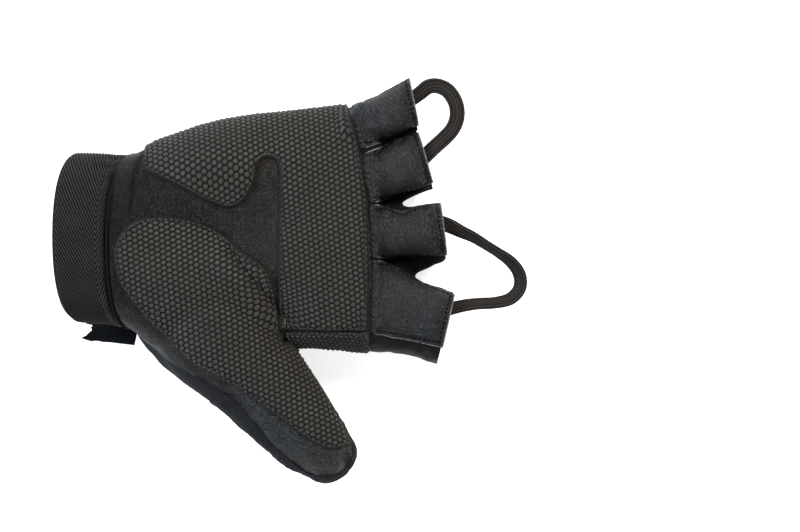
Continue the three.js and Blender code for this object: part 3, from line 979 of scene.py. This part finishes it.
# The outline of each stall's leather in plan; beside it the stall is gusset fabric.
STALL_LEATHER_AREA = {
    "little": [(38, 32.2), (42.1, 33.9), (65.5, 43.7), (76, 48), (76, 69), (62.4, 64), (45.2, 57.7),
               (36, 54.3)],
    "ring": [(38, 10.2), (48.8, 14.4), (71.8, 22.6), (82, 26.2), (80, 47.7), (65.9, 42.1), (43.7, 33.2),
             (38, 31)],
    "middle": [(38, -7.5), (49.9, -7), (77.6, -5.9), (88, -5.4), (88, 19.9), (73.3, 15.6), (59.3, 10.9),
               (48.8, 13.7), (38, 16.6)],
    "index": [(38, -34.4), (48, -36.3), (75.3, -41.7), (90, -44.6), (90, -23), (80, -20.3), (63.2, -14.8),
              (49.9, -7), (38, 0)],
}
stalls = {}
for name in FINGERS:
    def leather_edge(v, name=name):
        return np.minimum(v[:, 2] - STALL_SEAM, polygon_distance(v[:, :2], STALL_LEATHER_AREA[name]))

    def stall(v, name=name):
        return in_stall(v, name)[0]

    def before_hem(v, name=name):
        return in_stall(v, name)[1]

    leather = finer(part(skin, stall, before_hem, leather_edge))
    leather_depth = stall_leather_depth(leather)
    raw = rim_distance(leather)[leather.t].mean(1) < 0.42
    o = shell(name + "_leather", leather, leather_depth, -0.5, [STALL_LEATHER, CUT_EDGE],
              raw_edge=raw & (knuckle(leather.v)[leather.t].mean(1) > 2.5))
    assign(o, on_finger(), "leather", name + "_finger_palm_leather")
    stalls[name] = (leather, leather_depth)

    under_hem = part(skin, stall, lambda v: before_hem(v) - 0.7)
    below = part(under_hem, lambda v: 0.3 - leather_edge(v), lambda v: v[:, 2] - BACK_SEAM)
    (rl, rr), (el, er) = FINGERS[name]["root"], FINGERS[name]["end"]
    centre_line = (((rl[0] + rr[0]) / 2, (rl[1] + rr[1]) / 2), ((el[0] + er[0]) / 2, (el[1] + er[1]) / 2))
    for side, sign in (("outer", 1), ("inner", -1)):
        gusset = part(below, lambda v: sign * left_of(v, centre_line))
        ruffle = 0.35 * value_noise(gusset.v, 3, 21)
        cloth = SIDE_LEATHER if (name, side) == ("index", "inner") else GUSSET
        o = shell(f"{name}_{side}_gusset", gusset, ruffle - 0.2, -1.0, [cloth])
        assign(o, on_finger(), "knit", f"{name}_finger_{side}_gusset")
    knit = part(under_hem, lambda v: BACK_SEAM - v[:, 2])
    o = shell(name + "_back", knit, 0.15 * value_noise(knit.v, 4, 22), -1.0, [KNIT])
    assign(o, on_finger(), "knit", name + "_finger_back_panel")

# ---- strip at the index finger's side of the palm
STRIP_Y = -35.6  # edge of the palm's patch, where the strip starts


def in_strip(v):
    return STRIP_Y - v[:, 1]


side_strip = finer(part(
    skin, palm_side, not_thumb, lambda v: -knuckle(v) - 0.2, lambda v: v[:, 0] - 14, in_strip,
    lambda v: v[:, 2] - 15,
))
weave = dots(flat_palm(side_strip.v) * 1.2, 0.4) * 0.8
strip_depth = 0.75 + weave + 0.3 * value_noise(side_strip.v, 5, 31) - rounded(side_strip, 0.8, 0.8)
# the tone paints shade into the hollows between the strip's raised weave
side_mesh = shell("side_mesh", side_strip, strip_depth, -0.2, [GRIP], tone=np.clip(weave / 0.4, 0.05, 0.5))
assign(side_mesh, "palm", "grip")


# ---- cuff, welt and strap
def sheet_on_form(u, angles, depth, rows, columns):
    """A grid on the hand's form, with its surface turned outwards, and its (u, angle) values."""
    uu, aa = np.meshgrid(np.linspace(*u, rows), np.linspace(*angles, columns), indexing="ij")
    d = depth(uu, aa) if callable(depth) else depth + 0 * uu
    v = on_form(HAND, uu, aa, d).reshape(-1, 3)
    t = grid_triangles(rows, columns)
    n = normals_of(v, t)
    if (n * (v - v.mean(0))).sum() < 0:
        t, n = t[:, ::-1], -n
    return Surface(v, n, t), uu.ravel(), aa.ravel()


BAND = (-60, 240)  # angles that the cuff and the welt cover
CUFF_WIDTH = 21  # of the hand form's first span, which the cuff lies on
CUFF_SEAM = 17.6  # how far across the cuff it is stitched
PINCH_AT = 38  # how far round the wrist the cuff and the welt are pinched
RIB_TURN = 16.4  # how far across the cuff its ribs turn back
cuff, cuff_u, cuff_a = sheet_on_form((0.0, 0.985), BAND, 0.0, 110, 700)
band_angles = np.linspace(*BAND, 361)
around = on_form(HAND, np.full(len(band_angles), 0.5), band_angles)
around_length = along_path(around)
cuff_s = np.interp(cuff_a, band_angles, around_length)
cuff_x = cuff_u * CUFF_WIDTH
turned = np.where(cuff_x < RIB_TURN, cuff_x, 2 * RIB_TURN - cuff_x)
ribs = np.sin(np.pi * (cuff_s * 0.47 - turned * 0.88) / RIB_PITCH) ** 2
border = np.minimum(cuff_x, 20.4 - cuff_x)
ribbed = smoothstep((border - 0.9) / 0.4)
cuff_pinch = -2.2 * bell(cuff_s, PINCH_AT, 9) * smoothstep((cuff_x - 8) / 12)
pucker = 0.5 * np.sin(cuff_s * 0.9) * bell(cuff_s, 36, 12) * smoothstep((cuff_x - 10) / 8)
cuff_soft = 0.35 * value_noise(cuff.v, 11, 41)
cuff_depth = 0.5 * ribs * ribbed + cuff_soft + cuff_pinch + pucker - 0.5 * (1 - smoothstep(border / 0.8))
# the tone paints shade into the valleys between the ribs, and light on their crests
o = shell("cuff", cuff, cuff_depth, -1.6, [ELASTIC], tone=0.1 + (0.92 * ribs**1.5 - 0.08) * ribbed)
assign(o, "palm", "elastic", "cuff_band")

welt, welt_u, welt_a = sheet_on_form((0.965, 1.09), BAND, 0.0, 15, 400)
piping = 1.6 * np.sqrt(np.clip(1 - ((welt_u - 1.01) / 0.032) ** 2, 0, 1)) - 0.9
welt_s = np.interp(welt_a, band_angles, around_length)
welt_pinch = -1.6 * bell(welt_s, PINCH_AT, 9)
o = shell("welt", welt, piping + welt_pinch, -1.8, [GUSSET])
assign(o, "palm", "leather", "cuff_welt")

STRAP_U = (0.08, 0.92)
STRAP_HINGE = 291  # angle where the moving strap starts
STRAP_END = 200
STRAP_TURN = 232  # angle beyond which the strap turns towards the wrist
TAB_SHIFT = 4.3  # how far, as it is closed a little aslant
PAD_ROOM = 2.2  # under the strap, for the two pads


def strap_lift(a):
    """How far the strap stands off the wrist: room for the pads, and a tab that curls up at its end."""
    tab = np.maximum(0, (228 - a) / 28)
    return smoothstep((STRAP_HINGE - a) / 40) * PAD_ROOM + 6.5 * tab * tab


def strap_piece(name, u, angles, inner, outer, lift, rows, columns, body_name, replaced, hooks, ragged=0.0):
    """A strap or pad wrapped round the wrist: webbing ribs along it, or a nap of hooks or loops all over."""
    def depth(uu, aa):
        return outer + lift(aa)

    s, uu, aa = sheet_on_form(u, angles, depth, rows, columns)
    if lift is strap_lift:
        s.v[:, 0] -= TAB_SHIFT * smoothstep((STRAP_TURN - aa) / 20) * (1.05 - 0.45 * uu)
    if ragged:
        frayed = smoothstep((STRAP_TURN - 12 - aa) / 8) * smoothstep((0.22 - uu) / 0.12)
        s.v[:, 0] -= frayed * 2.2 * value_noise(np.stack([aa / 1.6, 0 * uu, 0 * uu], 1), 1.0, 54)
        torn = ragged * value_noise(np.stack([uu * 8, 0 * uu, 0 * uu], 1), 1.0, 51)
        tail = np.clip((angles[0] + 9 - aa) / 9, 0, 1)
        height = depth(uu, aa)
        moved = on_form(HAND, uu, aa - torn * tail, height) - on_form(HAND, uu, aa, height)
        s.v[:, 1:] += moved[:, 1:]
    if hooks:
        texture = 0.28 * np.maximum(value_noise(s.v, 0.55, 52), -0.2)
    else:
        texture = 0.1 * np.sin(uu * 26 * math.pi / 0.6) + 0.06 * value_noise(s.v, 0.6, 53)
    o = shell(name, s, texture - rounded(s, 0.35, 0.5) - 0.1, inner - outer, [WEBBING])
    assign(o, body_name, "hook_loop", replaced)


def no_lift(a):
    return 0 * a


PAD_U = (0.14, 0.86)
strap_piece("strap", STRAP_U, (STRAP_END, STRAP_HINGE), 0.3, 1.5, strap_lift, 70, 230,
            "closure_strap", "closure_strap", False, ragged=0.9)
strap_piece("strap_root", STRAP_U, (STRAP_HINGE + 2, 318), 0.3, 1.5, no_lift, 70, 60,
            "palm", "strap_sewn_end", False)
strap_piece("loop_side", PAD_U, (207, 238), 0.3, 1.1, no_lift, 60, 70, "palm", "loop_pad", True)
strap_piece("hook_side", PAD_U, (205, 238), -0.8, 0.0, strap_lift, 60, 80, "closure_strap", "hook_pad", True)

# ---- pull loops
CORD_WIDTH = 6.2
CORD_THICK = 1.8
CORD_RIB = 1.25
STRAND_PITCH = 1.0
# Each loop's path, its twist in degrees at each point, the body that carries it, and the two points between
# which it starts to swing.
LOOPS = {
    "little_ring": dict(
        body="ring_finger", start=(63.8, 43.9), end=(72, 47),
        points=[
            (60.2, 52.6, 21.6), (63.3, 54.9, 22.3), (66.4, 57.2, 22.5), (69.6, 59.6, 22.9),
            (73.4, 59.8, 23.3), (77.2, 57.8, 23.7), (80, 53.4, 24), (80.7, 48.4, 24.1),
            (79.2, 43.6, 23.9), (76, 39.8, 23.4), (72, 36.2, 22.8), (68.5, 32.8, 22.4), (65.3, 29.8, 21.6),
        ],
        twist=[38, 34, 26, 14, 4, 0, 0, 0, 0, 4, 10, 14, 16],
    ),
    "middle_index": dict(
        body="middle_finger", start=(76, -9), end=(84, -9.5),
        points=[
            (71.4, 7.2, 21.2), (75.2, 6.4, 21.8), (78.4, 5.2, 21.9), (82.4, 3.2, 22.2), (87, 1.1, 21.6),
            (91.8, -1.8, 21), (96.6, -4.8, 20.5), (101.6, -8.4, 20.1), (105, -13.2, 19.9),
            (105.2, -18.6, 19.8), (101.6, -22.8, 20), (95.6, -24.4, 19.6), (89, -24.8, 18.9),
            (83.8, -25.5, 18.4), (79.4, -26.5, 18.2), (75.4, -27.6, 17.8),
        ],
        twist=[10, 10, 25, 42, 55, 62, 62, 50, 40, 38, 42, 50, 50, 45, 40, 40],
    ),
}


def braided_loop(name, facts):
    """Flat braided elastic: lengthwise ribs crossed by slanting strands, on a path with a slow twist."""
    count, around_count = 420, 56
    t = np.linspace(0, len(facts["points"]) - 1, count)
    path = spline(facts["points"], t)
    tangent = np.gradient(path, axis=0)
    tangent /= np.linalg.norm(tangent, axis=1)[:, None]
    flat = np.cross((0, 0, 1), tangent)
    flat /= np.linalg.norm(flat, axis=1)[:, None]
    up = np.cross(tangent, flat)
    twist = np.radians(np.interp(t, range(len(facts["twist"])), facts["twist"]))
    wide = flat * np.cos(twist)[:, None] + up * np.sin(twist)[:, None]
    thick = np.cross(tangent, wide)
    length = along_path(path)
    a = np.linspace(0, 2 * np.pi, around_count, endpoint=False)
    x = signed_power(np.cos(a), 0.6) * (CORD_WIDTH / 2 - 0.15)
    y = signed_power(np.sin(a), 0.75) * (CORD_THICK / 2 - 0.25)
    rib = np.abs(np.cos(np.pi * x / CORD_RIB)) ** 1.8
    slant = np.where(np.floor(x / CORD_RIB + 0.5) % 2 == 0, 0.5, -0.5)  # ribs lean to and fro
    strand = np.abs(np.sin(np.pi * (length[:, None] / STRAND_PITCH + slant * x)))
    relief = 0.25 * rib[None, :] + 0.15 * strand
    depth = y[None, :] + np.sign(y)[None, :] * relief * (np.abs(y)[None, :] > 0.1)
    rings = path[:, None] + wide[:, None] * x[None, :, None] + thick[:, None] * depth[..., None]
    v = rings.reshape(-1, 3)
    tris = grid_triangles(count, around_count, wrap=True)
    v = np.vstack([v, path[0], path[-1]])
    k = np.arange(around_count)
    last = (count - 1) * around_count
    caps = np.vstack([np.stack([0 * k + len(v) - 2, (k + 1) % around_count, k], 1),
                      np.stack([0 * k + len(v) - 1, last + k, last + (k + 1) % around_count], 1)])
    o = mesh_object(name + "_loop", v, np.vstack([tris, caps]), [BRAID], sharp=70)
    # the tone paints shade between the lengthwise ribs and the slanting strands
    set_tone(o, np.append(rib[None, :] * (0.45 + 0.55 * strand), (0.3, 0.3)))
    blended(o)
    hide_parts(name + "_pull_loop")
    shown = (t >= 1) & (t <= len(facts["points"]) - 2)  # the ends are sewn in behind the hems
    shown_length = np.ptp(length[shown])
    return shown_length


for name, facts in LOOPS.items():
    print(name, "loop", round(braided_loop(name, facts), 1), "mm")


# ---- stitching
STITCH_RINGS, STITCH_SIDES = 7, 6


def stitch_points(points, normals, pitch, length, width, lift):
    """One rounded thread lying on the surface for each stitch of a seam."""
    steps = along_path(points)
    if steps[-1] < pitch * 2:
        return None
    starts = np.arange(pitch * 0.5, steps[-1] - pitch * 0.5, pitch)
    k = np.linspace(-0.5, 0.5, STITCH_RINGS)
    size = np.sqrt(np.clip(1 - (2 * k) ** 4, 0.04, 1)) * width / 2
    sink = lift - 0.45 * np.abs(2 * k) ** 3
    angles = np.linspace(0, 2 * np.pi, STITCH_SIDES, endpoint=False)
    out = []
    for start in starts:
        at = start + k * length
        p = np.stack([np.interp(at, steps, points[:, i]) for i in range(3)], 1)
        n = np.stack([np.interp(at, steps, normals[:, i]) for i in range(3)], 1)
        along = p[-1] - p[0]
        size_along = np.linalg.norm(along)
        if size_along < 1e-6:
            continue
        side = np.cross(n, along / size_along)
        side /= np.linalg.norm(side, axis=1)[:, None]
        ring = np.cos(angles)[None, :, None] * side[:, None] + np.sin(angles)[None, :, None] * n[:, None]
        out.append((p + n * sink[:, None])[:, None] + ring * size[:, None, None])
    return np.array(out)


def seam(name, lines, carrier, pitch=STITCH_PITCH, length=1.55, width=0.7, lift=0.28, keep=None,
         thread=THREAD):
    """All the stitches along some contour lines, as one object."""
    groups = []
    for points, normals in lines:
        if keep is not None:
            inside = keep(points)
            if inside.sum() < 3:
                continue
            runs = np.split(np.arange(len(points)), np.flatnonzero(np.diff(inside.astype(int))) + 1)
            pieces = [r for r in runs if inside[r[0]] and len(r) > 4]
        else:
            pieces = [np.arange(len(points))]
        for r in pieces:
            made = stitch_points(points[r], normals[r], pitch, length, width, lift)
            if made is not None and len(made):
                groups.append(made)
    stitches = np.concatenate(groups)
    per_stitch = STITCH_RINGS * STITCH_SIDES
    first_cap = [(0, i + 1, i) for i in range(1, STITCH_SIDES - 1)]
    last = per_stitch - STITCH_SIDES
    last_cap = [(last, last + i, last + i + 1) for i in range(1, STITCH_SIDES - 1)]
    tris = np.vstack([grid_triangles(STITCH_RINGS, STITCH_SIDES, wrap=True), first_cap, last_cap])
    faces = (tris[None] + (np.arange(len(stitches)) * per_stitch)[:, None, None]).reshape(-1, 3)
    assign(mesh_object(name, stitches.reshape(-1, 3), faces, [thread]), carrier, "leather")


palm_top = palm_patch.moved(palm_height)
palm_border = in_palm_patch(palm_patch.v) - STITCH_INSET
seam("palm_patch_stitches", contour(palm_patch, palm_border, palm_top), "palm",
     keep=lambda p: (-knuckle(p) > 2.2) & (p[:, 2] > STITCH_FLOOR))
seam("knuckle_stitches_a", contour(palm_patch, before_knuckle(palm_patch.v) - 0.85, palm_top), "palm",
     keep=lambda p: (p[:, 1] > -35) & (p[:, 2] > STITCH_FLOOR))
thumb_top = thumb_patch.moved(thumb_height)
thumb_border = contour(thumb_patch, in_thumb_patch(thumb_patch.v) - STITCH_INSET, thumb_top)
seam("thenar_stitches", thumb_border, "palm",
     keep=lambda p: (in_thumb(p) < 0) & (p[:, 2] > STITCH_FLOOR))
seam("thumb_stitches", thumb_border, on_thumb,
     keep=lambda p: (in_thumb(p) > 0) & (p[:, 2] > STITCH_FLOOR))
strip_top = side_strip.moved(strip_depth)
seam("strip_stitches", contour(side_strip, in_strip(side_strip.v) - 1.2, strip_top), "palm")
for name, (leather, depth) in stalls.items():
    top = leather.moved(depth)
    stitched = rim_distance(leather, 3)
    seam(name + "_stitches", contour(leather, stitched - 1.3, top), on_finger(), pitch=2.1, length=1.4,
         width=0.66, keep=lambda p: knuckle(p) > 2.4, thread=STALL_THREAD)
    seam(name + "_root_stitches", contour(leather, knuckle(leather.v) - 1.5, top), on_finger())
seam("cuff_stitches", contour(cuff, cuff_x - CUFF_SEAM, cuff.moved(cuff_depth)), "palm", pitch=1.5,
     length=1.1, width=0.4, lift=0.05)

# ---- floor and light
white, _, white_shader = material("white_floor", (0.9, 0.9, 0.9), 0.9, 0.1)
white_shader.inputs["Emission Color"].default_value = (1, 1, 1, 1)
white_shader.inputs["Emission Strength"].default_value = 0.8
FLOOR_HALF = 1500
corners = [(x * FLOOR_HALF, y * FLOOR_HALF, -0.02) for x, y in ((-1, -1), (1, -1), (1, 1), (-1, 1))]
floor = mesh_object("floor", corners, [(0, 1, 2, 3)], [white])


def area_light(name, place, size, power, colour):
    light = bpy.data.lights.new(name, "AREA")
    light.size = size
    light.energy = power
    light.color = colour
    o = bpy.data.objects.new(name, light)
    o.location = place
    o.rotation_mode = "QUATERNION"
    o.rotation_quaternion = (Vector((0.01, 0, 0.02)) - Vector(place)).to_track_quat("-Z", "Y")
    scene.collection.objects.link(o)


area_light("key", (0.6, 0.6, 0.8), 0.4, 12, (1, 0.95, 0.88))
area_light("window", (-0.8, 0.15, 0.6), 0.4, 12, (0.68, 0.83, 1))
area_light("fill", (0.2, -0.8, 0.5), 0.5, 2, (1, 0.98, 0.94))
world = bpy.data.worlds.new("world")
scene.world = world
world.use_nodes = True
world.node_tree.nodes["Background"].inputs["Color"].default_value = (1, 1, 1, 1)
world.node_tree.nodes["Background"].inputs["Strength"].default_value = 0.12
scene.view_settings.view_transform = "Standard"
